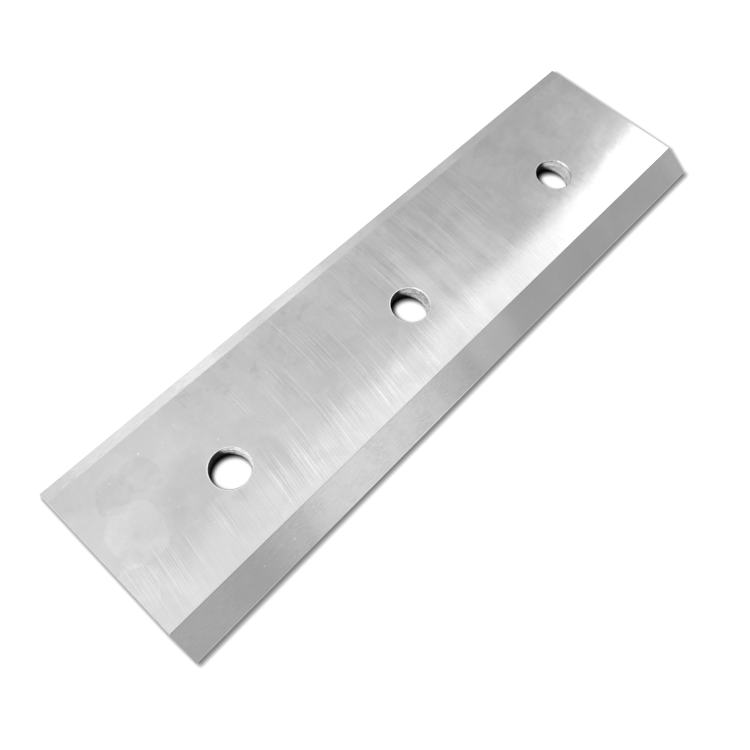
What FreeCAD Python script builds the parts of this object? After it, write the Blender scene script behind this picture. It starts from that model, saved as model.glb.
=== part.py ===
import FreeCAD, Part
import math
import os

# Wood chipper blade: a ground steel bar, sharpened along one long side, with a row of bolt holes
# Millimetres. X runs along the length, +Y points at the back edge, the cutting edge is at -Y, +Z is up
# The origin is on the middle bolt hole's axis, on the underside

# Bar
LENGTH = 400.0
WIDTH = 107.0
THICKNESS = 9.5

# Sharpened side: angles are between each ground face and the underside
BEVEL_ANGLE = 30.5
HONE_ANGLE = 42.0
HONE_WIDTH = 0.4

# Relief ground along the top of the back edge
RELIEF_WIDTH = 6.0
RELIEF_DEPTH = 0.5

# Bolt holes, in a row on the centre line of the bar
HOLE_COUNT = 3
HOLE_DIAMETER = 21.0
HOLE_PITCH = 130.0
HOLE_RIM_BREAK = 0.6

# Top corners of the two ends
END_BREAK = 0.4

# How far a cutting tool runs past the surface it leaves
OVERRUN = 1.0


def rise(run, angle_deg):
    """Height gained over a horizontal run on a face at this angle."""
    return run * math.tan(math.radians(angle_deg))


def hone_height():
    """Height of the line between the narrow honed face and the bevel."""
    return rise(HONE_WIDTH, HONE_ANGLE)


def ridge_y():
    """Place of the ridge between the bevel and the top face."""
    bevel_run = (THICKNESS - hone_height()) / math.tan(math.radians(BEVEL_ANGLE))
    return -WIDTH / 2 + HONE_WIDTH + bevel_run


def bar_section():
    """Cross section across the bar, at one end, from the cutting edge round to the honed face."""
    half = WIDTH / 2
    corners = [
        (-half, 0.0),
        (half, 0.0),
        (half, THICKNESS - RELIEF_DEPTH),
        (half - RELIEF_WIDTH, THICKNESS),
        (ridge_y(), THICKNESS),
        (-half + HONE_WIDTH, hone_height()),
    ]
    points = [FreeCAD.Vector(-LENGTH / 2, y, z) for y, z in corners]
    return Part.Face(Part.makePolygon(points + points[:1]))


def sharpened_bar():
    """The bar with its cutting edge and back relief, before the holes."""
    return bar_section().extrude(FreeCAD.Vector(LENGTH, 0, 0))


def top_end_edges(bar):
    """Edges where the end faces meet the top face and the back relief."""
    lowest = THICKNESS - RELIEF_DEPTH
    tolerance = OVERRUN / 1000
    found = []
    for edge in bar.Edges:
        box = edge.BoundBox
        at_end = box.XLength < tolerance and abs(abs(box.Center.x) - LENGTH / 2) < tolerance
        on_top = box.ZMin > lowest - tolerance
        if at_end and on_top:
            found.append(edge)
    return found


def with_broken_ends(bar):
    """Takes the sharp corner off the top of both ends."""
    return bar.makeChamfer(END_BREAK, top_end_edges(bar))


def hole_tool(x):
    """Drill with a flared shoulder: cuts a straight bore and breaks its top rim."""
    bore = HOLE_DIAMETER / 2
    flare = HOLE_RIM_BREAK + OVERRUN
    outline = [
        (0.0, -OVERRUN),
        (bore, -OVERRUN),
        (bore, THICKNESS - HOLE_RIM_BREAK),
        (bore + flare, THICKNESS + OVERRUN),
        (0.0, THICKNESS + OVERRUN),
    ]
    points = [FreeCAD.Vector(x + r, 0, z) for r, z in outline]
    half_section = Part.Face(Part.makePolygon(points + points[:1]))
    return half_section.revolve(FreeCAD.Vector(x, 0, 0), FreeCAD.Vector(0, 0, 1), 360)


def hole_places():
    """Places of the hole centres along the bar, the row centred on the origin."""
    middle = (HOLE_COUNT - 1) / 2
    return [(index - middle) * HOLE_PITCH for index in range(HOLE_COUNT)]


def blade():
    """The finished blade."""
    body = with_broken_ends(sharpened_bar())
    for x in hole_places():
        body = body.cut(hole_tool(x))
    return body.Solids[0]


os.makedirs("parts", exist_ok=True)
blade().exportStep("parts/blade.step")
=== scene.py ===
"""Looks of a wood chipper knife: its ground steel finishes, a white floor, soft light and the camera.

Metres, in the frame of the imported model: X along the knife, +Y to its back edge, +Z out of its top face.
"""

import logging
import math
from dataclasses import dataclass
from enum import Enum
from typing import Dict, Iterable, List, Sequence, Tuple, Union

import bmesh
import bpy
from mathutils import Matrix, Vector


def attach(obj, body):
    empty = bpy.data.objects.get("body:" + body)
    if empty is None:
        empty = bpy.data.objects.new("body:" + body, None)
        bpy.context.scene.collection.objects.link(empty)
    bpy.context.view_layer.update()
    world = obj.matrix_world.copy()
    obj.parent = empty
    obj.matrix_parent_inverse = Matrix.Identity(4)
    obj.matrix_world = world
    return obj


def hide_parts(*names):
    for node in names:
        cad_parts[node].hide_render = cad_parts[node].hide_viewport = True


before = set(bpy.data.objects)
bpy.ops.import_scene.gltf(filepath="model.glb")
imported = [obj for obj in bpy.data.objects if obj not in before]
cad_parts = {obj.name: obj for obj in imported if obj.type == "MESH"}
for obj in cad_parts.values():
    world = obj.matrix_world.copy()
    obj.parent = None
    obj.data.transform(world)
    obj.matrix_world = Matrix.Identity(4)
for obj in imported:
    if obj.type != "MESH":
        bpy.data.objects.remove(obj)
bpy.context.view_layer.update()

LOG = logging.getLogger("chipper_knife")
MM = 0.001
MICROMETRE = 1e-6
ON_PLANE = 1e-7
DISPLAY_GAMMA = 2.2
HOLE_PITCH = 130.0
SAME_WAY = 0.9999
WATTS_FOR_RADIANCE = 4.0
CUT = {"offset_type": "OFFSET", "profile": 0.5, "affect": "EDGES"}

Grey = float
Span = Tuple[float, float]
Form = bmesh.types.BMesh
Edges = List[bmesh.types.BMEdge]

# Where a finish changes over from the middle hole's to the near hole's or the far hole's, in mm
TO_NEAR_HOLE: Span = (-50.0, -80.0)
TO_FAR_HOLE: Span = (60.0, 90.0)


class Wire:
    """One output of a shader node, ready for Python arithmetic."""

    def __init__(self, graph: "Graph", socket: bpy.types.NodeSocket) -> None:
        """Keeps the graph that owns the socket, and the socket."""
        self.graph = graph
        self.socket = socket

    def _math(self, operation: str, *operands: "Value", clamp: bool = False) -> "Wire":
        """Adds one Math node.

        Args:
            operation: the node's operation.
            operands: values or wires, in the order of its sockets.
            clamp: whether its result stays between 0 and 1.

        Returns:
            The node's result.
        """
        settings = {"operation": operation, "use_clamp": clamp}
        return self.graph.node("Math", settings, dict(enumerate(operands)))

    def __add__(self, other: "Value") -> "Wire":
        """Sum."""
        return self._math("ADD", self, other)

    __radd__ = __add__

    def __sub__(self, other: "Value") -> "Wire":
        """Difference."""
        return self._math("SUBTRACT", self, other)

    def __rsub__(self, other: "Value") -> "Wire":
        """Difference with this wire on the right."""
        return self._math("SUBTRACT", other, self)

    def __mul__(self, other: "Value") -> "Wire":
        """Product."""
        return self._math("MULTIPLY", self, other)

    __rmul__ = __mul__

    def __truediv__(self, other: "Value") -> "Wire":
        """Quotient."""
        return self._math("DIVIDE", self, other)

    def __pow__(self, other: "Value") -> "Wire":
        """Power."""
        return self._math("POWER", self, other)

    def __abs__(self) -> "Wire":
        """Size without its sign."""
        return self._math("ABSOLUTE", self)

    def clamped(self) -> "Wire":
        """The value held between 0 and 1."""
        return self._math("ADD", self, 0.0, clamp=True)

    def step(self, low: float, high: float) -> "Wire":
        """Smooth step.

        Args:
            low: where the result is 0.
            high: where the result is 1; it may be less than low.

        Returns:
            0 on one side, 1 on the other, and a smooth rise between.
        """
        if high < low:
            return 1.0 - self.step(high, low)
        ends = {"Value": self, "From Min": low, "From Max": high}
        return self.graph.node("MapRange", {"interpolation_type": "SMOOTHSTEP"}, ends)

    def inside(self, softness: float) -> "Wire":
        """1 below zero and 0 above it, with a smooth fade on either side."""
        return self.step(softness, -softness)

    def between(self, low: float, high: float, fade: float) -> "Wire":
        """1 between two places and 0 outside, with a smooth fade on either side of each."""
        return self.step(low - fade, low + fade) * self.step(high + fade, high - fade)


Value = Union[Wire, float, Sequence[float]]
Stops = Sequence[Tuple[float, float]]
Key = Union[int, str]


def total(wires: Sequence[Wire]) -> Wire:
    """Sum of several wires."""
    return sum(wires[1:], wires[0])


class Graph:
    """The node tree of a material or of the world."""

    def __init__(self, tree: bpy.types.NodeTree) -> None:
        """Empties the tree and keeps it."""
        tree.nodes.clear()
        self.tree = tree

    def _add(self, kind: str, settings: Dict[str, object], inputs: Dict[Key, Value]) -> bpy.types.Node:
        """Adds one node.

        Args:
            kind: the node's type, without ShaderNode in front.
            settings: its properties; "stops" are the places and greys of a ramp.
            inputs: values or wires by socket name or number.

        Returns:
            The node.
        """
        made = self.tree.nodes.new("ShaderNode" + kind)
        for name, setting in settings.items():
            if name == "stops":
                self._set_stops(made.color_ramp, setting)
            else:
                setattr(made, name, setting)
        for key, given in inputs.items():
            if isinstance(given, Wire):
                self.tree.links.new(given.socket, made.inputs[key])
            else:
                made.inputs[key].default_value = given
        return made

    def _set_stops(self, ramp: bpy.types.ColorRamp, stops: Stops) -> None:
        """Gives a ramp its stops.

        Args:
            ramp: the ramp, as a new node has it.
            stops: places from 0 to 1 in order, each with its grey.
        """
        while len(ramp.elements) < len(stops):
            ramp.elements.new(1.0)
        for element, (place, grey) in zip(ramp.elements, stops):
            element.position = place
            element.color = (grey, grey, grey, 1.0)

    def node(self, kind: str, settings: Dict[str, object], inputs: Dict[Key, Value],
             output: Key = 0) -> Wire:
        """Adds one node and gives one of its outputs.

        Args:
            kind: the node's type, without ShaderNode in front.
            settings: its properties, as _add takes them.
            inputs: values or wires by socket name or number.
            output: the name or number of the output that is wanted.

        Returns:
            That output.
        """
        return Wire(self, self._add(kind, settings, inputs).outputs[output])

    def finish(self, kind: str, shader: Wire) -> None:
        """Joins a shader to the end of the tree."""
        self._add(kind, {}, {0: shader})

    def place(self) -> Tuple[Wire, Wire, Wire]:
        """Place on the piece in millimetres.

        Returns:
            The place along X, Y and Z.
        """
        coordinates = self.node("TexCoord", {}, {}, "Object")
        scaled = self.node("VectorMath", {"operation": "SCALE"},
                           {0: coordinates, "Scale": 1.0 / MM})
        parts = self._add("SeparateXYZ", {}, {0: scaled})
        return tuple(Wire(self, socket) for socket in parts.outputs)

    def vector(self, x: Value, y: Value, z: Value) -> Wire:
        """Vector of three values or wires."""
        return self.node("CombineXYZ", {}, {0: x, 1: y, 2: z})

    def noise(self, x: Value, y: Value, z: Value, detail: float = 2.0, roughness: float = 0.5,
              distortion: float = 0.0) -> Wire:
        """Smooth noise between 0 and 1, with features about as large as its unit.

        Args:
            x: first coordinate, already stretched.
            y: second coordinate, already stretched.
            z: third coordinate, or a number that sets this noise apart from others.
            detail: number of finer layers.
            roughness: strength of the finer layers.
            distortion: how far the noise is bent by itself.

        Returns:
            The noise.
        """
        inputs = {"Vector": self.vector(x, y, z), "Scale": 1.0, "Detail": detail,
                  "Roughness": roughness, "Distortion": distortion}
        return self.node("TexNoise", {"noise_dimensions": "3D"}, inputs)

    def from_hole(self, x: Wire) -> Wire:
        """Place along the knife from the nearest hole's axis, in millimetres."""
        return x - HOLE_PITCH * self.node("Math", {"operation": "ROUND"}, {0: x / HOLE_PITCH})

    def distance(self, x: Value, y: Value, centre: Span) -> Wire:
        """Level distance from a centre, in the unit of x and y."""
        return self.node("VectorMath", {"operation": "DISTANCE"},
                         {0: self.vector(x, y, 0.0), 1: (*centre, 0.0)}, "Value")

    def blend(self, factor: Value, first: Grey, second: Grey) -> Wire:
        """Colour between two greys."""
        colours = {6: (first, first, first, 1.0), 7: (second, second, second, 1.0)}
        return self.node("Mix", {"data_type": "RGBA"}, {0: factor, **colours}, 2)


@dataclass
class Marks:
    """What a finish leaves on the steel: lightness, roughness, height in micrometres, and bareness."""

    lightness: Wire
    roughness: Wire
    height: Wire
    metallic: Value = 1.0


@dataclass(frozen=True)
class SteelFinish:
    """Bare steel with one kind of surface."""

    name: str
    dark: Grey = 0.42
    light: Grey = 0.84

    def marks(self, graph: Graph) -> Marks:
        """What this finish leaves on the steel; each kind of finish has its own."""
        raise NotImplementedError

    def material(self) -> bpy.types.Material:
        """Makes the material of this finish.

        Returns:
            The material.
        """
        made = bpy.data.materials.new(self.name)
        made.use_nodes = True
        graph = Graph(made.node_tree)
        marks = self.marks(graph)
        relief = {"Strength": 1.0, "Distance": MICROMETRE, "Filter Width": 0.01, "Height": marks.height}
        steel = graph.node("BsdfPrincipled", {}, {
            "Base Color": graph.blend(marks.lightness.clamped(), self.dark, self.light),
            "Metallic": marks.metallic,
            "Specular IOR Level": 0.0,
            "Roughness": marks.roughness,
            "Normal": graph.node("Bump", {}, relief),
        })
        graph.finish("OutputMaterial", steel)
        return made


@dataclass(frozen=True)
class Scratch:
    """One long scratch on the top face: where its arc starts, and the stretch it covers, in mm."""

    start: float
    low: float
    high: float
    depth: float = 1.0


@dataclass(frozen=True)
class Stain:
    """A round water mark or a soft lighter or darker patch on the top face, in mm, how much lighter it is,
    and how soft its edge is.
    """

    centre: Span
    radius: float
    lift: float
    softness: float = 0.7

    @property
    def has_ring(self) -> bool:
        """Whether it dried with a sharp uneven edge; a softer one is only a broad lighter or darker patch.
        """
        return self.softness < 1.0


@dataclass(frozen=True)
class Lane:
    """A broad polished lane: where its arc starts, half its width and its ends, in mm."""

    start: float
    half_width: float
    low: float
    high: float
    lift: float


@dataclass(frozen=True)
class Speck:
    """A small bright dot or a soft patch, in mm."""

    centre: Span
    lift: float = 0.25
    radius: float = 0.55


SCRATCHES = (
    Scratch(-60.6, 7.3, 46.7, 1.4),
    Scratch(-41.8, -12.7, 20.0, 1.2),
    Scratch(-88.1, -16.7, 16.7, 1.2),
    Scratch(-113.0, -33.3, -14.0, 1.2),
    Scratch(-67.1, -24.7, -6.0, 1.3),
    Scratch(-21.6, -34.0, -4.7, 1.3),
    Scratch(-177.3, -27.0, -4.7, 1.1),
    Scratch(-162.4, -23.3, -8.7),
    Scratch(48.1, -12.7, 12.7, 1.2),
    Scratch(3.6, 12.7, 31.0, 1.1),
    Scratch(-15.4, 8.7, 47.0, 0.8),
    Scratch(-29.2, -11.3, 8.7, 0.9),
    Scratch(-73.7, -16.7, 26.0, 0.8),
    Scratch(-76.2, -25.0, 12.0, 0.6),
    Scratch(-94.6, -36.0, -6.0, 0.8),
    Scratch(-97.0, -36.0, -10.0, 0.6),
    Scratch(-52.4, -30.0, 4.0, 0.6),
    Scratch(-34.8, -36.0, -2.0, 0.7),
    Scratch(-9.0, -36.0, -6.0, 0.6),
    Scratch(18.3, -34.0, 14.0, 0.5),
    Scratch(-192.4, -36.0, -2.0, 0.7),
    Scratch(-186.0, -34.0, -6.0, 0.5),
    Scratch(-170.2, -30.0, -8.0, 0.6),
    Scratch(-141.0, -34.0, 2.0, 0.4),
)

STAINS = (
    Stain((-180.0, 8.5), 14.5, 0.10),
    Stain((-182.5, 5.5), 2.4, -0.07, 1.4),
    Stain((-162.0, 27.0), 8.8, -0.08),
    Stain((-177.0, 28.0), 9.0, -0.09),
    Stain((-159.5, 20.0), 5.0, 0.06),
    Stain((-197.5, -15.5), 11.3, 0.09),
    Stain((-186.0, -12.0), 13.5, 0.04),
    Stain((-200.0, 17.0), 16.0, 0.13, 8.0),
    Stain((-170.0, -5.0), 14.0, -0.13, 9.0),
    Stain((-150.0, 6.0), 14.0, -0.12, 8.0),
    Stain((-160.0, 44.0), 26.0, 0.10, 14.0),
    Stain((-111.0, -9.0), 8.5, -0.08, 1.6),
    Stain((-110.0, 7.0), 8.0, -0.05, 1.6),
    Stain((-136.5, -12.5), 3.4, -0.10, 1.4),
    Stain((-67.0, -9.0), 4.5, -0.06, 1.6),
    Stain((-100.0, -9.0), 8.0, 0.09, 6.0),
    Stain((-70.0, 8.0), 8.0, 0.09, 6.0),
    Stain((-34.0, 40.0), 16.0, 0.10, 12.0),
    Stain((50.0, 6.0), 12.0, 0.12, 8.0),
    Stain((25.0, -8.0), 24.0, 0.21, 16.0),
    Stain((-55.0, 20.0), 26.0, -0.09, 14.0),
    Stain((111.0, -5.0), 10.0, 0.11, 8.0),
    Stain((126.0, 17.0), 9.0, -0.09, 6.0),
    Stain((172.0, -1.0), 13.0, 0.12, 9.0),
    Stain((178.0, 39.0), 15.0, 0.10, 10.0),
    Stain((142.0, -17.0), 9.0, -0.10, 7.0),
    Stain((-40.0, -12.0), 15.0, 0.06, 11.0),
    Stain((-191.0, -4.0), 8.0, -0.07, 6.0),
)

LANES = (
    Lane(17.5, 4.5, -14.0, 30.0, 0.17),
    Lane(32.0, 4.0, -16.0, 10.0, 0.12),
    Lane(66.0, 8.0, -12.0, 18.0, 0.18),
    Lane(26.5, 2.0, -26.0, -2.0, -0.12),
    Lane(38.0, 2.5, 0.0, 32.0, -0.10),
    Lane(56.0, 2.0, -14.0, 40.0, -0.07),
)

TOP_SPECKS = (
    Speck((-155.5, 36.6), 0.8, 0.7), Speck((-82.5, 25.0), 0.7), Speck((-124.1, 15.0), 0.6),
    Speck((-143.7, 33.0)), Speck((-134.0, 35.9)), Speck((-174.4, 34.2)), Speck((-180.1, 34.2)),
    Speck((-168.8, 33.6)), Speck((-156.7, 41.2)), Speck((-145.6, 15.1)), Speck((-136.4, 18.6)),
    Speck((-159.6, 3.0)), Speck((-160.2, 8.6)), Speck((-100.5, 8.7)), Speck((-152.9, -14.2)),
    Speck((-36.7, 30.0)), Speck((-35.0, 23.6)),
)

BEVEL_SPECKS = (
    Speck((-150.5, -44.9), 0.5), Speck((-131.9, -45.6), 0.5), Speck((-137.5, -51.1)),
    Speck((-156.0, -46.0), -0.12, 22.0), Speck((-96.0, -46.0), 0.06, 30.0),
    Speck((-13.0, -46.0), -0.12, 20.0), Speck((19.0, -46.0), 0.25, 22.0),
    Speck((202.0, -46.0), 0.15, 20.0),
)

RELIEF_SPECKS = (
    Speck((-198.0, 50.5), -0.15, 20.0), Speck((-104.0, 50.5), 0.15, 17.0),
    Speck((-37.0, 50.5), 0.21, 27.0), Speck((40.0, 50.5), -0.15, 18.0), Speck((90.0, 50.5), 0.12, 14.0),
)


def specks(graph: Graph, x: Wire, y: Wire, spots: Sequence[Speck]) -> Wire:
    """Small bright dots and soft patches on a face, as a change of lightness.

    Args:
        graph: the material's graph.
        x: place along the knife.
        y: place across it.
        spots: the dots.

    Returns:
        The change.
    """
    return total([spot.lift * graph.distance(x, y, spot.centre).step(spot.radius, spot.radius / 3.0)
                  for spot in spots])


@dataclass(frozen=True)
class TopGrind(SteelFinish):
    """Top face: fine arcs ground across the knife, long scratches, water marks, specks, and painted
    highlights at the hole lips.

    Places are in mm, heights and depths in micrometres, and a lift is a change of lightness.
    """

    arc_start: float = 47.0
    arc_radius: float = 380.0
    polish: float = 0.08
    grain_height: float = 25.0
    lane_height: float = 12.0
    line_lift: float = 0.30
    line_depth: float = 14.0
    scratch_lift: float = 0.26
    scratch_depth: float = 16.0
    lip_fall: float = 90.0
    scratch_half_width: float = 0.42
    scratch_fade: float = 5.0
    lane_fade: float = 6.0
    lip_radius: float = 11.15

    def marks(self, graph: Graph) -> Marks:
        """Fine arcs, long scratches, water marks, specks, and painted highlights at the hole lips.

        Args:
            graph: the material's graph.

        Returns:
            The marks.
        """
        x, y, _ = graph.place()
        back = y - self.arc_start
        arc = x + back * back / (2.0 * self.arc_radius)
        grain = graph.noise(x * 3.5, y * 0.08, 1.0, 1.0)
        broad, lines = self._streaks(graph, arc, x, y)
        scratches = self._scratches(arc, y)
        lip_highlights, fallen = self._lip_wear_and_highlights(graph, x, y)
        changes = [broad, self.line_lift * lines, self.scratch_lift * scratches,
                   self._clouds(graph, x, y), self._stains(graph, x, y), self._lanes(arc, y), lip_highlights,
                   specks(graph, x, y, TOP_SPECKS)]
        height = self.grain_height * grain + self.lane_height * broad - self.line_depth * lines
        height = height - self.scratch_depth * scratches - self.lip_fall * fallen
        return Marks(0.5 + total(changes), self.polish + 0.03 * broad, height)

    def _clouds(self, graph: Graph, x: Wire, y: Wire) -> Wire:
        """Uneven oily film: soft clouds, patches with a clear edge, and wiped smears at the far end.

        Args:
            graph: the material's graph.
            x: place along the knife.
            y: place across it.

        Returns:
            The change of lightness.
        """
        cloud = graph.noise(x * 0.045, y * 0.055, 13.0, 5.0, 0.62, 0.8) - 0.5
        patch = graph.noise(x * 0.07, y * 0.06, 15.0, 4.0, 0.6, 0.6).step(0.48, 0.55) - 0.5
        smear = graph.noise(x * 0.04 + y * 0.02, y * 0.12 - x * 0.06, 17.0, 4.0, 0.6, 0.6) - 0.5
        blot = graph.noise(x * 0.11, y * 0.17, 19.0, 5.0, 0.68).step(0.565, 0.63)
        blotted = x.step(-140.0, -120.0) * x.step(10.0, -30.0) * y.step(14.0, 32.0)
        calm = 1.0 - 0.6 * y.step(-12.0, -20.0) * x.step(-10.0, 50.0)
        rough = (0.30 * cloud + 0.055 * patch) * (0.75 + 0.35 * x.step(-130.0, -60.0))
        return (rough + 0.42 * smear * x.step(70.0, 130.0)) * calm - 0.12 * blot * blotted

    def _streaks(self, graph: Graph, arc: Wire, x: Wire, y: Wire) -> Tuple[Wire, Wire]:
        """Marks of the grinding wheel, in groups, which fade out towards the far end.

        Args:
            graph: the material's graph.
            arc: place across the arcs.
            x: place along the knife.
            y: place across it.

        Returns:
            Broad lanes and grooves as a change of lightness, and thin lines from -1 to 1.
        """
        low = y.step(15.0, -20.0)
        middle = x.step(-135.0, -95.0) * x.step(112.0, 62.0)
        left = x.step(-95.0, -135.0)
        groove = graph.noise(arc * 0.55, y * 0.02, 5.0, 3.0, 0.6) - 0.5
        lanes = graph.noise(arc * 0.16, y * 0.014, 9.0, 3.0) - 0.5
        right = x.step(-20.0, 20.0)
        share = 0.12 + middle * (0.26 + right * (1.39 - 1.17 * low)) + 0.52 * left * low
        broad = (0.24 * groove + 0.24 * lanes) * share
        fine = graph.noise(arc * 2.7, y * 0.026, 21.0, 2.0, 0.6)
        lines = fine.step(0.53, 0.68) - 0.8 * fine.step(0.46, 0.32)
        crowd = graph.noise(arc * 0.10, y * 0.02, 27.0, 2.0).step(0.42, 0.58)
        wear_and_shade = middle * (0.85 + 0.50 * low + 0.5 * right) * (1.0 - 0.75 * low * right)
        wear_and_shade = wear_and_shade + left * (0.10 + 0.6 * low)
        return broad, lines * wear_and_shade * (0.25 + 0.8 * crowd)

    def _lip_wear_and_highlights(self, graph: Graph, x: Wire, y: Wire) -> Tuple[Wire, Wire]:
        """Worn lips of the bolt holes with painted highlights: a bright one on the side towards the far
        end, a faint one on the other.

        Args:
            graph: the material's graph.
            x: place along the knife.
            y: place across it.

        Returns:
            The painted highlights as a change of lightness, and how far the lip is worn down, from 0 to 1.
        """
        along = graph.from_hole(x)
        uneven = graph.noise(x * 0.7, y * 0.7, 37.0, 2.0) - 0.5
        away = graph.distance(along, y, (0.0, 0.0)) + uneven
        far = x.step(*TO_FAR_HOLE)
        reach = (along + 3.0 * uneven).step(8.6, 10.6) * (1.0 - far * abs(y - 0.8).step(2.6, 4.6))
        reach = reach * x.step(-60.0, -30.0)
        # Painted highlights: a bright ring along the rim on the far side of the middle and far holes, and
        # a faint one on the side towards the near end of every hole.
        lip = (abs(away - self.lip_radius) - 0.2 * far).step(0.55, 0.1)
        near = along.step(3.0, -3.0) * abs(away - 0.6 * uneven - self.lip_radius).step(0.35, 0.1)
        fallen = away.step(self.lip_radius + 0.5, self.lip_radius - 0.3)
        return 1.2 * lip * reach + 0.25 * near, fallen * reach

    def _lanes(self, arc: Wire, y: Wire) -> Wire:
        """The broad polished lanes, as a change of lightness.

        Args:
            arc: place across the arcs.
            y: place along them.

        Returns:
            The change.
        """
        return total([lane.lift
                      * abs(arc - lane.start).step(lane.half_width + 3.0, lane.half_width - 2.0)
                      * y.between(lane.low, lane.high, self.lane_fade) for lane in LANES])

    def _scratches(self, arc: Wire, y: Wire) -> Wire:
        """The long scratches.

        Args:
            arc: place across the arcs.
            y: place along them.

        Returns:
            How deep a scratch is here, from 0 to about 1.
        """
        return total([abs(arc - scratch.start).step(self.scratch_half_width, 0.05) * scratch.depth
                      * y.between(scratch.low, scratch.high, self.scratch_fade)
                      for scratch in SCRATCHES])

    def _stains(self, graph: Graph, x: Wire, y: Wire) -> Wire:
        """The round water marks and soft patches, as a change of lightness.

        Args:
            graph: the material's graph.
            x: place along the knife.
            y: place across it.

        Returns:
            The change.
        """
        bent = graph.noise(x * 0.07, y * 0.07, 31.0, 1.0) - 0.5
        ragged = 11.0 * bent + 4.5 * (graph.noise(x * 0.3, y * 0.3, 33.0, 4.0, 0.7) - 0.5)
        blotch = 2.6 * graph.noise(x * 0.17, y * 0.17, 35.0, 4.0, 0.65) - 0.3
        dried = graph.noise(x * 0.12, y * 0.12, 38.0, 2.0).step(0.50, 0.62)
        changes = []
        for stain in STAINS:
            away = graph.distance(x, y, stain.centre) + ragged - stain.radius
            inside = away.inside(stain.softness)
            if stain.has_ring:
                inside = inside * blotch + 0.3 * dried * abs(away + 0.6).step(1.0, 0.1)
            changes.append(stain.lift * inside)
        return total(changes)


@dataclass(frozen=True)
class LongGrind(SteelFinish):
    """A face ground along the knife: the bevel, its hone, the relief at the back, or the underside.

    The shares are how strong the marks are towards either end, and slant turns them.
    """

    base: float = 0.5
    roughness: float = 0.2
    depth: float = 10.0
    seed: float = 40.0
    slant: float = 0.0
    near_share: float = 1.0
    far_share: float = 1.0
    ridge_line: float = 0.0
    spots: Tuple[Speck, ...] = ()

    def marks(self, graph: Graph) -> Marks:
        """Fine short dashes along the length, quieter towards the far end.

        Args:
            graph: the material's graph.

        Returns:
            The marks.
        """
        x, y, z = graph.place()
        across, wide = y + z + self.slant * x, y - z
        fine = graph.noise(x * 0.08, across * 2.0, self.seed, 3.0, 0.6) - 0.5
        dash = graph.noise(x * 0.24, across * 1.3, self.seed + 3.0, 3.0, 0.65).step(0.38, 0.64) - 0.5
        cloud = graph.noise(x * 0.035, wide * 0.08, self.seed + 8.0, 5.0, 0.6) - 0.5
        group = graph.noise(x * 0.09, wide * 0.22, self.seed + 12.0, 2.0).step(0.42, 0.56)
        lively = self.far_share + (1.0 - self.far_share) * x.step(40.0, -40.0)
        lively = lively * (1.0 - (1.0 - self.near_share) * x.step(-125.0, -160.0))
        dash = dash * (0.45 + 0.8 * group)
        lightness = self.base + (0.16 * dash + 0.20 * fine + 0.50 * cloud) * lively
        lightness = lightness - self.ridge_line * z.step(9.1, 9.3)
        if self.spots:
            lightness = lightness + specks(graph, x, y, self.spots)
        height = self.depth * (fine + 0.5 * dash) * lively
        return Marks(lightness, self.roughness + 0.10 * cloud, height)


@dataclass(frozen=True)
class SawnSide(SteelFinish):
    """An end or the back edge: coarse marks down the thickness."""

    def marks(self, graph: Graph) -> Marks:
        """Coarse upright marks with a few darker patches.

        Args:
            graph: the material's graph.

        Returns:
            The marks.
        """
        x, y, z = graph.place()
        along = x + y
        marks = graph.noise(along * 1.2, z * 0.12, 60.0, 3.0, 0.6) - 0.5
        patch = graph.noise(along * 0.08, z * 0.15, 63.0, 3.0, 0.6) - 0.5
        return Marks(0.42 + 0.24 * marks + 0.28 * patch, 0.34 + 0.12 * patch, 40.0 * marks)


@dataclass(frozen=True)
class HoleFinish(SteelFinish):
    """A finish on a bolt hole, with painted shade on the side towards the near end: a dark, non-metal
    sheet.
    """

    unshaded_direction: Span = (0.97, -0.24)

    def _unshaded(self, graph: Graph, x: Wire, y: Wire, z: Wire) -> Wire:
        """Where the steel is free of the painted shade, which reaches further round at the foot.

        Args:
            graph: the material's graph.
            x: place along the knife.
            y: place across it.
            z: height above the floor.

        Returns:
            1 on bare steel, 0 under the painted shade.
        """
        along, aside = self.unshaded_direction
        across = graph.from_hole(x) * along + y * aside
        edge = 7.3 - 0.7 * x.step(*TO_NEAR_HOLE) - 0.97 * across + 0.03 * across * across
        uneven = 1.6 * (graph.noise(x * 0.5, y * 0.5, z * 0.3, 3.0, 0.6) - 0.5)
        # Painted shade: bare steel towards the far end and higher up, a dark sheet elsewhere.
        return across.step(-1.0, 2.6) * (z - edge + uneven).step(-1.7, 1.7)


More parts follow.
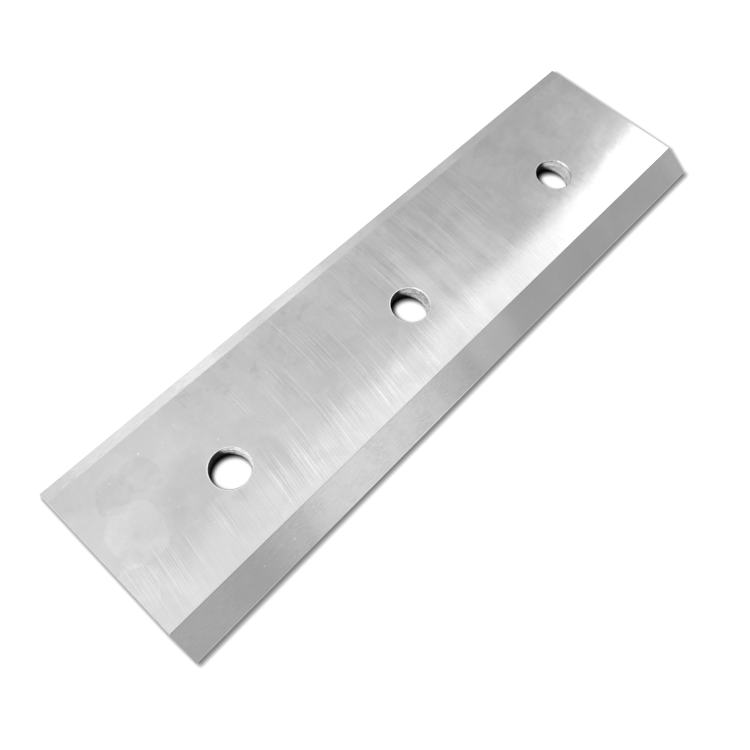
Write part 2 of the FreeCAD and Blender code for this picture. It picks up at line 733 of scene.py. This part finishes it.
@dataclass(frozen=True)
class Bore(HoleFinish):
    """Wall of a bolt hole: pitted from the drill."""

    def marks(self, graph: Graph) -> Marks:
        """Fine rings and pits, with painted shade and light on the wall and painted glints at the foot.

        Args:
            graph: the material's graph.

        Returns:
            The marks.
        """
        x, y, z = graph.place()
        rings = graph.noise(x * 0.10, y * 0.10, z * 0.55, 3.0, 0.6) - 0.5
        pits = graph.noise(x * 0.85, y * 0.85, z * 0.45, 3.0, 0.7) - 0.5
        # Painted glints: bright spots along a slanting line near the foot.
        painted_glints = graph.noise(x * 0.9, y * 0.9, z * 0.5, 2.0).step(0.42, 0.50)
        painted_glints = painted_glints * abs(z - 1.75 - 0.25 * y).step(1.1, 0.5)
        painted_glints = painted_glints * y.step(-8.0, -6.0) * y.step(5.5, 3.5)
        unshaded = self._unshaded(graph, x, y, z)
        near, far = x.step(*TO_NEAR_HOLE), x.step(*TO_FAR_HOLE)
        back = y.step(-5.0, -0.5)
        # Painted shade and light: the near hole's wall darker on the +Y side and towards its foot; the
        # other walls lighter towards the foot, and the far hole's lighter overall.
        bright = 1.12 + 1.2 * rings - 0.5 * y.step(2.5, 9.5)
        bright = bright - (0.25 * z.step(7.6, 6.2) + 0.4 * z.step(3.5, 0.8)) * back
        plain = 0.50 + 0.10 * far + z.step(5.0, 1.5) * (0.18 + 0.27 * back) + 1.5 * painted_glints
        coarse = 1.8 - 1.2 * far
        lightness = plain + (bright - plain) * near + coarse * pits + 0.9 * rings
        # Painted shade: the level of the dark non-metal sheet, a little lighter higher up.
        painted_shade = 0.012 + 0.03 * z.step(2.0, 5.0) * (1.0 + 3.0 * pits)
        return Marks(painted_shade + unshaded * lightness, 0.42 + 0.3 * pits, 60.0 * rings + 110.0 * pits, unshaded)


@dataclass(frozen=True)
class BrokenRim(HoleFinish):
    """Hand-broken rim of a bolt hole: bright at the top, with the painted shade of the bore on its lower
    half and more painted shade on the middle and far rims.
    """

    top: float = 9.5
    depth: float = 0.6

    def marks(self, graph: Graph) -> Marks:
        """Small uneven facets, with painted shade.

        Args:
            graph: the material's graph.

        Returns:
            The marks.
        """
        x, y, z = graph.place()
        facets = graph.noise(x * 0.6, y * 0.6, z * 0.6, 2.0, 0.6) - 0.5
        fallen = (self.top - z) / self.depth + 0.4 * facets
        unshaded = self._unshaded(graph, x, y, z)
        near, far = x.step(*TO_NEAR_HOLE), x.step(*TO_FAR_HOLE)
        light = 0.08 * graph.from_hole(x).step(-3.0, -8.0)
        # Painted shade: the bore's dark sheet carried up over the rim's lower part.
        painted_shade = (fallen - light).step(0.05, 0.35) * (1.0 - unshaded)
        # Painted shade: the far rim darker on both sides across the knife, the middle rim darker on its
        # lower part.
        far_rim_shade = far * (0.42 * y.step(1.0, 7.0) + 0.26 * y.step(-1.5, -4.5))
        wear_and_shade = 0.34 * fallen.step(0.3, 0.7) + 0.26 * fallen.step(0.05, 0.4) * y.step(-7.0, -3.0)
        wear_and_shade = wear_and_shade * (1.0 - near) * (1.0 - far)
        lightness = (0.95 + 1.2 * facets - far_rim_shade - wear_and_shade) * (1.0 - 0.97 * painted_shade)
        return Marks(lightness, 0.34 + 0.3 * facets, 30.0 * facets, 1.0 - painted_shade)


@dataclass(frozen=True)
class BrokenCorner(SteelFinish):
    """Lightly stoned corner of an end or of the ridge: a little uneven, with painted shade towards the
    near end and painted light towards the far end.
    """

    def marks(self, graph: Graph) -> Marks:
        """Small uneven facets, on a lightness that rises from the near end to the far end: painted shade
        and light.

        Args:
            graph: the material's graph.

        Returns:
            The marks.
        """
        x, y, z = graph.place()
        facets = graph.noise(x * 0.6, y * 0.6, z * 0.6, 2.0, 0.6) - 0.5
        # Painted shade and light: darker towards the near end, lighter towards the far end.
        lightness = 0.35 + 0.45 * x.step(-150.0, 150.0) + 0.4 * facets
        return Marks(lightness, 0.3 + 0.2 * facets, 30.0 * facets)


class Face(Enum):
    """The kinds of surface on the knife, in the order of its material slots."""

    TOP = TopGrind("top_ground_across")
    RELIEF = LongGrind("relief_ground_along", base=0.52, roughness=0.2, seed=40.0, far_share=0.7,
                       spots=RELIEF_SPECKS)
    BEVEL = LongGrind("bevel_ground_along", base=0.46, roughness=0.2, seed=48.0, slant=0.16,
                      near_share=0.6, far_share=0.3, ridge_line=0.2, spots=BEVEL_SPECKS)
    HONE = LongGrind("hone_polished", base=0.72, roughness=0.14, depth=4.0, seed=55.0)
    SIDE = SawnSide("sides_sawn")
    BORE = Bore("bores_drilled", dark=0.01, light=1.0)
    RIM = BrokenRim("rims_broken", dark=0.02, light=0.92)
    CORNER = BrokenCorner("corners_stoned")
    SEAT = LongGrind("underside_ground", base=0.48, roughness=0.26, seed=70.0)

    @property
    def slot(self) -> int:
        """Number of this surface's material slot."""
        return list(Face).index(self)


@dataclass(frozen=True)
class Knife:
    """The knife: a flat bar, sharpened along one side, relieved along the other, with bolt holes."""

    length: float = 400.0 * MM
    width: float = 107.0 * MM
    thickness: float = 9.5 * MM
    bevel_angle: float = math.radians(30.5)
    hone_angle: float = math.radians(42.0)
    hone_width: float = 0.4 * MM
    relief_width: float = 6.0 * MM
    relief_depth: float = 0.5 * MM
    hole_places: Tuple[float, ...] = (-HOLE_PITCH * MM, 0.0, HOLE_PITCH * MM)
    hole_radius: float = 10.5 * MM
    rim_break: float = 0.6 * MM
    end_break: float = 0.4 * MM
    eased_edge: float = 0.12 * MM
    eased_ridge: float = 0.08 * MM
    eased_from: float = math.radians(20.0)
    merged_below: float = 2.0 * MICROMETRE
    hole_segments: int = 96
    rim_segments: int = 4

    def build(self) -> bpy.types.Object:
        """Makes the knife and dresses it.

        Returns:
            The knife's object, at the origin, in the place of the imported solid.
        """
        form = self._bar()
        self._grind(form, *self._hone_plane())
        self._grind(form, *self._bevel_plane())
        self._grind(form, *self._relief_plane())
        self._sort_faces(form)
        self._break_ends(form)
        self._bore_holes(form)
        self._ease_edges(form)
        bmesh.ops.remove_doubles(form, verts=form.verts, dist=self.merged_below)
        bmesh.ops.recalc_face_normals(form, faces=form.faces)
        mesh = bpy.data.meshes.new("chipper_knife")
        for face in Face:
            mesh.materials.append(face.value.material())
        form.to_mesh(mesh)
        form.free()
        knife = bpy.data.objects.new("chipper_knife", mesh)
        bpy.context.scene.collection.objects.link(knife)
        return knife

    def _bar(self) -> Form:
        """Makes a flat bar with sharp corners, its underside on the floor.

        Returns:
            The bar.
        """
        form = bmesh.new()
        bmesh.ops.create_cube(form, size=1.0)
        bmesh.ops.scale(form, vec=(self.length, self.width, self.thickness), verts=form.verts)
        bmesh.ops.translate(form, vec=(0.0, 0.0, self.thickness / 2.0), verts=form.verts)
        return form

    def _hone_plane(self) -> Tuple[Vector, Vector]:
        """A point on the honed face and its outward direction."""
        point = Vector((0.0, -self.width / 2.0, 0.0))
        return point, Vector((0.0, -math.sin(self.hone_angle), math.cos(self.hone_angle)))

    def _bevel_plane(self) -> Tuple[Vector, Vector]:
        """Plane of the bevel.

        Returns:
            A point on it and its outward direction.
        """
        height = self.hone_width * math.tan(self.hone_angle)
        point = Vector((0.0, self.hone_width - self.width / 2.0, height))
        return point, Vector((0.0, -math.sin(self.bevel_angle), math.cos(self.bevel_angle)))

    def _relief_plane(self) -> Tuple[Vector, Vector]:
        """A point on the back relief and its outward direction."""
        point = Vector((0.0, self.width / 2.0 - self.relief_width, self.thickness))
        return point, Vector((0.0, self.relief_depth, self.relief_width)).normalized()

    def _grind(self, form: Form, point: Vector, outward: Vector) -> None:
        """Takes off what lies outside a plane and closes the cut.

        Args:
            form: the bar so far.
            point: a point on the plane.
            outward: the side that is taken off.
        """
        everything = form.verts[:] + form.edges[:] + form.faces[:]
        bmesh.ops.bisect_plane(form, geom=everything, dist=ON_PLANE, plane_co=point,
                               plane_no=outward, clear_outer=True)
        rim = [edge for edge in form.edges if edge.is_boundary]
        bmesh.ops.holes_fill(form, edges=rim, sides=0)

    def _sort_faces(self, form: Form) -> None:
        """Gives each face its finish's slot, by the way it faces.

        Args:
            form: the bar with sharp corners.
        """
        bmesh.ops.recalc_face_normals(form, faces=form.faces)
        directions = (
            (Face.TOP, Vector((0.0, 0.0, 1.0))),
            (Face.SEAT, Vector((0.0, 0.0, -1.0))),
            (Face.RELIEF, self._relief_plane()[1]),
            (Face.BEVEL, self._bevel_plane()[1]),
            (Face.HONE, self._hone_plane()[1]),
        )
        for face in form.faces:
            kind, direction = max(directions, key=lambda pair: face.normal.dot(pair[1]))
            straight = face.normal.dot(direction) > SAME_WAY
            face.material_index = kind.slot if straight else Face.SIDE.slot

    def _break_ends(self, form: Form) -> None:
        """Breaks the top corners of both ends.

        Args:
            form: the bar with sharp corners.
        """
        tops = (Face.TOP.slot, Face.RELIEF.slot)
        corners = [edge for edge in form.edges if self._joins(edge, tops, (Face.SIDE.slot,))
                   and abs(edge.verts[0].co.x - edge.verts[1].co.x) < MICROMETRE]
        before = set(form.faces)
        bmesh.ops.bevel(form, geom=corners, offset=self.end_break, segments=1, material=-1, **CUT)
        for face in set(form.faces) - before:
            if 0.5 < face.normal.z < 0.9 and abs(face.normal.x) > 0.5:
                face.material_index = Face.CORNER.slot

    def _joins(self, edge: bmesh.types.BMEdge, first: Iterable[int], second: Iterable[int]) -> bool:
        """Whether an edge lies between faces of two sets of slots.

        Args:
            edge: the edge.
            first: the slots on one side.
            second: the slots on the other; the sides may be swapped.

        Returns:
            True if it does.
        """
        slots = [face.material_index for face in edge.link_faces]
        if len(slots) != 2:
            return False
        return (slots[0] in first and slots[1] in second) or (slots[1] in first and slots[0] in second)

    def _bore_holes(self, form: Form) -> None:
        """Opens the top and the underside and joins them by the bolt holes.

        Args:
            form: the bar so far.
        """
        rims: Edges = []
        feet: Edges = []
        for kind in (Face.TOP, Face.SEAT):
            flat = [face for face in form.faces if face.material_index == kind.slot]
            outline = [edge for face in flat for edge in face.edges]
            bmesh.ops.delete(form, geom=flat, context="FACES_ONLY")
            (rims if kind is Face.TOP else feet).extend(outline)
        for place in self.hole_places:
            top, bottom = self._bore(form, place)
            rims.extend(top)
            feet.extend(bottom)
        for kind, edges, up in ((Face.TOP, rims, 1.0), (Face.SEAT, feet, -1.0)):
            filled = bmesh.ops.triangle_fill(form, use_beauty=True, use_dissolve=False, edges=edges,
                                             normal=(0.0, 0.0, up))
            for part in filled["geom"]:
                if isinstance(part, bmesh.types.BMFace):
                    part.material_index = kind.slot

    def _bore(self, form: Form, place: float) -> Tuple[Edges, Edges]:
        """Makes the rounded rim and the wall of one hole.

        Args:
            form: the bar so far.
            place: where the hole is along the length.

        Returns:
            The edges of the hole's mouth in the top face and in the underside.
        """
        centre = Vector((place, 0.0, self.thickness))
        radius, drop = self.hole_radius + self.rim_break, 0.0
        mouth = bmesh.ops.create_circle(form, cap_ends=False, segments=self.hole_segments,
                                        radius=radius, matrix=Matrix.Translation(centre))
        top = ring = list({edge for vert in mouth["verts"] for edge in vert.link_edges})
        for step in range(1, self.rim_segments + 1):
            turn = math.pi / 2.0 * step / self.rim_segments
            next_radius = self.hole_radius + self.rim_break * (1.0 - math.sin(turn))
            next_drop = self.rim_break * (1.0 - math.cos(turn))
            ring = self._lower(form, ring, Face.RIM, next_drop - drop)
            narrow = next_radius / radius
            bmesh.ops.scale(form, vec=(narrow, narrow, 1.0), space=Matrix.Translation(-centre),
                            verts=list({vert for edge in ring for vert in edge.verts}))
            radius, drop = next_radius, next_drop
        bottom = self._lower(form, ring, Face.BORE, self.thickness - self.rim_break)
        return top, bottom

    def _lower(self, form: Form, ring: Edges, kind: Face, depth: float) -> Edges:
        """Draws a ring of edges down into a wall.

        Args:
            form: the bar so far.
            ring: the edges to draw.
            kind: the surface that the wall has.
            depth: how far down.

        Returns:
            The edges of the wall's foot.
        """
        drawn = bmesh.ops.extrude_edge_only(form, edges=ring)["geom"]
        verts = [part for part in drawn if isinstance(part, bmesh.types.BMVert)]
        bmesh.ops.translate(form, vec=(0.0, 0.0, -depth), verts=verts)
        for part in drawn:
            if isinstance(part, bmesh.types.BMFace):
                part.material_index = kind.slot
                part.smooth = True
        lowered = set(verts)
        return [part for part in drawn if isinstance(part, bmesh.types.BMEdge)
                and part.verts[0] in lowered and part.verts[1] in lowered]

    def _ease_edges(self, form: Form) -> None:
        """Takes the sharpness off every long outer edge but the cutting edge and the shallow ones.

        Args:
            form: the bar with its holes.
        """
        form.normal_update()
        flats = (Face.TOP.slot, Face.RELIEF.slot, Face.BEVEL.slot, Face.SIDE.slot, Face.SEAT.slot)
        ridge = [edge for edge in form.edges if self._joins(edge, (Face.TOP.slot,), (Face.BEVEL.slot,))]
        bmesh.ops.bevel(form, geom=ridge, offset=self.eased_ridge, segments=1,
                        material=Face.CORNER.slot, clamp_overlap=True, **CUT)
        form.normal_update()
        eased = [edge for edge in form.edges if self._joins(edge, flats, flats)
                 and edge.calc_face_angle(0.0) > self.eased_from]
        bmesh.ops.bevel(form, geom=eased, offset=self.eased_edge, segments=2, material=-1,
                        clamp_overlap=True, **CUT)


@dataclass(frozen=True)
class Softbox:
    """A lamp behind a large white cloth, in metres."""

    name: str
    low: Span
    high: Span
    height: float
    radiance: float
    turn: float = 0.0

    def build(self) -> bpy.types.Object:
        """Makes the lamp, level and facing down.

        Returns:
            The lamp's object.
        """
        wide, deep = self.high[0] - self.low[0], self.high[1] - self.low[1]
        lamp = bpy.data.lights.new(self.name, "AREA")
        lamp.shape = "RECTANGLE"
        lamp.size, lamp.size_y = wide, deep
        lamp.energy = WATTS_FOR_RADIANCE * wide * deep * self.radiance
        made = bpy.data.objects.new(self.name, lamp)
        made.matrix_world = self._stand()
        made.visible_camera = False
        bpy.context.scene.collection.objects.link(made)
        return made

    def _stand(self) -> Matrix:
        """Where the lamp is and how it is turned."""
        middle = ((self.low[0] + self.high[0]) / 2.0, (self.low[1] + self.high[1]) / 2.0, self.height)
        return Matrix.Translation(middle) @ Matrix.Rotation(self.turn, 4, "Z")


@dataclass(frozen=True)
class SideSoftbox(Softbox):
    """An upright softbox on the near side, facing +X; low and high are its extents along Y and Z."""

    def _stand(self) -> Matrix:
        """Where the lamp is and how it is turned; its height is how far out it stands."""
        middle = (-self.height, (self.low[0] + self.high[0]) / 2.0, (self.low[1] + self.high[1]) / 2.0)
        return Matrix.Translation(middle) @ Matrix(((0, 0, -1), (1, 0, 0), (0, 1, 0))).to_4x4()


# The far softboxes, each 10 mm over the last: where they begin along X, where they end along Y, how
# bright they are and how far they are turned, in degrees
FAR_SOFTBOXES = (
    (1.58, 0.690, 0.08, 5.0), (-0.35, 0.416, 0.03, 0.0), (0.20, 0.416, 0.12, 0.0),
    (0.47, 0.421, 0.15, 0.0), (0.95, 0.425, 0.13, 0.0), (1.22, 0.478, 0.22, 5.0),
    (1.56, 0.502, 0.37, 6.8), (1.72, 0.615, 0.14, 8.0),
)

SOFTBOXES = (
    *(Softbox(f"softbox_end_{number}", (x, -1.0), (2.9, y), 1.49 + 0.01 * number, radiance,
              math.radians(turn)) for number, (x, y, radiance, turn) in enumerate(FAR_SOFTBOXES)),
    Softbox("softbox_edge", (0.32, -2.2), (1.08, -1.5), 1.50, 0.50),
    Softbox("softbox_low", (0.32, -2.50), (1.02, -1.75), 0.60, 0.44),
    Softbox("softbox_back_1", (-1.5, 0.85), (0.90, 2.0), 1.50, 0.28),
    Softbox("softbox_back_2", (-0.05, 0.85), (0.5, 2.0), 1.52, 0.12),
    Softbox("softbox_back_3", (0.90, 0.85), (1.50, 2.0), 1.50, 0.13),
    SideSoftbox("softbox_near", (-0.6, 0.1), (1.8, 2.0), 1.60, 0.70),
)


@dataclass(frozen=True)
class WhiteFloor:
    """White floor with the drop shadow of the knife drawn on it for the photo's side; lengths in mm."""

    knife: Knife
    darkness: float = 0.54
    softness: float = 2.34
    softness_growth: float = 0.0015
    near_reach: float = -0.1
    near_rise: float = 0.66
    near_softness: float = 1.5
    far_reach: float = 0.6
    far_rise: float = 9.8
    far_softness: float = 3.3
    back_reach: float = 2.5
    back_softness: float = 2.1
    hole_shift: Span = (0.0, -1.95)
    hole_softness: float = 2.7
    hole_growth: float = 0.0016
    hole_margin: Span = (2.0, 1.9)
    eye: Tuple[float, float, float] = (-197.0, -123.0, 375.0)
    seen_share: float = 0.75
    seen_strength: float = 1.15
    mirror_share: float = 0.8

    def material(self) -> bpy.types.Material:
        """Makes the floor's material.

        Returns:
            The material.
        """
        made = bpy.data.materials.new("white_floor")
        made.use_nodes = True
        graph = Graph(made.node_tree)
        x, y, _ = graph.place()
        rays = [graph.node("LightPath", {}, {}, kind)
                for kind in ("Is Camera Ray", "Is Glossy Ray", "Is Transmission Ray")]
        shadow = self._shadow(graph, x, y) * (1.0 - self.mirror_share * rays[1])
        shade = graph.blend((1.0 - shadow) ** DISPLAY_GAMMA, 0.0, 1.0)
        diffuse = graph.node("BsdfDiffuse", {}, {"Color": shade})
        glow = graph.node("Emission", {}, {"Color": shade, "Strength": self.seen_strength})
        seen = total(rays).clamped() * self.seen_share
        floor = graph.node("MixShader", {}, {0: seen, 1: diffuse, 2: glow})
        graph.finish("OutputMaterial", floor)
        return made

    def _shadow(self, graph: Graph, x: Wire, y: Wire) -> Wire:
        """How dark the floor is from the knife: a soft copy of its outline, with its holes left open.

        Args:
            graph: the floor's graph.
            x: place along the knife.
            y: place across it.

        Returns:
            0 on open floor, and up to 1 where no light gets in.
        """
        half_length, half_width = self.knife.length / MM / 2.0, self.knife.width / MM / 2.0
        soft = self.softness + self.softness_growth * x
        front = ((-half_width - y) / soft).step(2.0, 0.0)
        back = (y - half_width - self.back_reach).inside(self.back_softness)
        bevel_run = self.knife.thickness / MM / math.tan(self.knife.bevel_angle)
        rise = ((y + half_width) / bevel_run).clamped()
        near = -half_length - self.near_reach - self.near_rise * rise - x
        far = x - half_length - self.far_reach - self.far_rise * rise
        dark = self.darkness * front * back
        dark = dark * near.inside(self.near_softness) * far.inside(self.far_softness)
        for place in self.knife.hole_places:
            dark = self._hole_shadow(graph, x - place / MM, y, place / MM, dark)
        return dark

    def _hole_shadow(self, graph: Graph, x: Wire, y: Wire, place: float, dark: Wire) -> Wire:
        """Opens the shadow under a hole: a lit patch, as its two mouths frame the floor from the eye.

        Args:
            graph: the floor's graph.
            x: place along the knife, from the hole's axis.
            y: place across it.
            place: where the hole is along the knife.
            dark: how dark the floor is under a knife with no hole here.

        Returns:
            How dark the floor is.
        """
        radius, depth = self.knife.hole_radius / MM, (self.knife.thickness - self.knife.rim_break) / MM
        growth = 1.0 + self.hole_growth * place
        soft = self.hole_softness * growth
        shift = Vector(self.hole_shift) * growth
        spread = depth / (self.eye[2] - depth)
        lean = Vector((place - self.eye[0], -self.eye[1])) * spread
        lit = 1.0
        for centre, size in ((shift, radius), (shift + lean, radius * (1.0 + spread))):
            lit = graph.distance(x, y, tuple(centre)).step(size + soft, size - soft) * lit
        outer, inner = self.hole_margin
        inside = graph.distance(x, y, (0.0, 0.0)).step(radius + outer, radius + inner)
        return dark * (1.0 - inside) + (1.0 - lit) * inside


ROOM_SHADES = (
    (0.0, 1.0), (0.10, 0.95), (0.20, 0.64), (0.36, 0.62), (0.42, 0.62), (0.455, 0.54), (0.48, 0.50),
    (0.53, 0.475), (0.60, 0.56), (0.66, 0.64), (0.75, 0.67), (0.81, 0.77), (0.87, 0.83), (0.91, 0.94),
    (0.97, 1.10), (1.0, 1.12),
)


@dataclass(frozen=True)
class Studio:
    """A pale room with softboxes, the white floor, and the camera."""

    knife: Knife
    floor_side: float = 12.0
    floor_drop: float = 0.05 * MM
    eye: Tuple[float, float, float] = (-0.196643, -0.122809, 0.374696)
    heading: float = math.radians(54.788)
    pitch: float = math.radians(62.964)
    roll: float = math.radians(8.553)
    focal_length: float = 38.3325
    sensor: float = 36.0

    def build(self) -> None:
        """Makes the room, the lamps, the floor and the camera."""
        self._room()
        self._floor()
        for softbox in SOFTBOXES:
            softbox.build()
            LOG.info("lamp %s", softbox.name)
        self._camera()

    def _room(self) -> None:
        """Light of the room: brightest overhead, greyer towards the walls and pale along the floor."""
        world = bpy.data.worlds.new("pale_room")
        bpy.context.scene.world = world
        world.use_nodes = True
        graph = Graph(world.node_tree)
        direction = graph.node("TexCoord", {}, {}, "Generated")
        height = graph.node("SeparateXYZ", {}, {0: direction}, "Z")
        shade = graph.node("ValToRGB", {"stops": ROOM_SHADES}, {0: height})
        light = graph.node("Background", {}, {"Color": shade, "Strength": 1.0})
        graph.finish("OutputWorld", light)

    def _floor(self) -> None:
        """Floor just under the knife."""
        form = bmesh.new()
        bmesh.ops.create_grid(form, x_segments=1, y_segments=1, size=self.floor_side / 2.0,
                              matrix=Matrix.Translation((0.0, 0.0, -self.floor_drop)))
        mesh = bpy.data.meshes.new("floor")
        form.to_mesh(mesh)
        form.free()
        floor = bpy.data.objects.new("floor", mesh)
        bpy.context.scene.collection.objects.link(floor)
        mesh.materials.append(WhiteFloor(self.knife).material())

    def _camera(self) -> None:
        """Camera at the eye, looking down at the knife from its near end."""
        data = bpy.data.cameras.new("camera")
        data.sensor_width = self.sensor
        data.lens = self.focal_length
        camera = bpy.data.objects.new("camera", data)
        turn = (Matrix.Rotation(-self.heading, 4, "Z")
                @ Matrix.Rotation(math.pi / 2.0 - self.pitch, 4, "X")
                @ Matrix.Rotation(self.roll, 4, "Z"))
        camera.matrix_world = Matrix.Translation(self.eye) @ turn
        bpy.context.scene.collection.objects.link(camera)
        bpy.context.scene.camera = camera


def main() -> None:
    """Builds the studio and the knife, and reports each piece."""
    logging.basicConfig(level=logging.INFO, format="%(name)s: %(message)s")
    design = Knife()
    Studio(design).build()
    bpy.context.scene.view_settings.view_transform = "Standard"
    knife = design.build()
    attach(knife, "root")
    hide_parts("blade")
    LOG.info("piece %s, %d faces", knife.name, len(knife.data.polygons))


if __name__ == "__main__":
    main()
